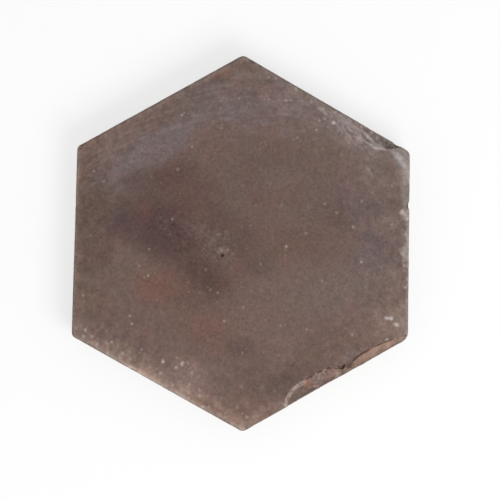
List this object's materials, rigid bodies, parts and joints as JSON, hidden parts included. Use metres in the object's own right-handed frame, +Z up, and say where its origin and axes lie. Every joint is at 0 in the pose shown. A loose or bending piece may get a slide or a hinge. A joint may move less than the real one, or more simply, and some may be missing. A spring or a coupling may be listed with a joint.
{
  "type": "hexagon floor tile",
  "caption": "Reclaimed hexagonal floor tile of dark unglazed fired clay, drafted sides, worn arris and shell-shaped chips along its edges.",
  "frame": {"origin": "middle of the tile's box, on the plane of the bed that it lies on", "axes": "+Z up through the walked-on face, +Y towards the north corner, +X square to the east side; the tile lies flat on its bed"},
  "size_m": [0.1636, 0.1814, 0.018],
  "materials": {
    "fired_clay": "matte"
  },
  "bodies": {
    "root": {"hexagon_tile": "fired_clay"}
  },
  "joints": []
}
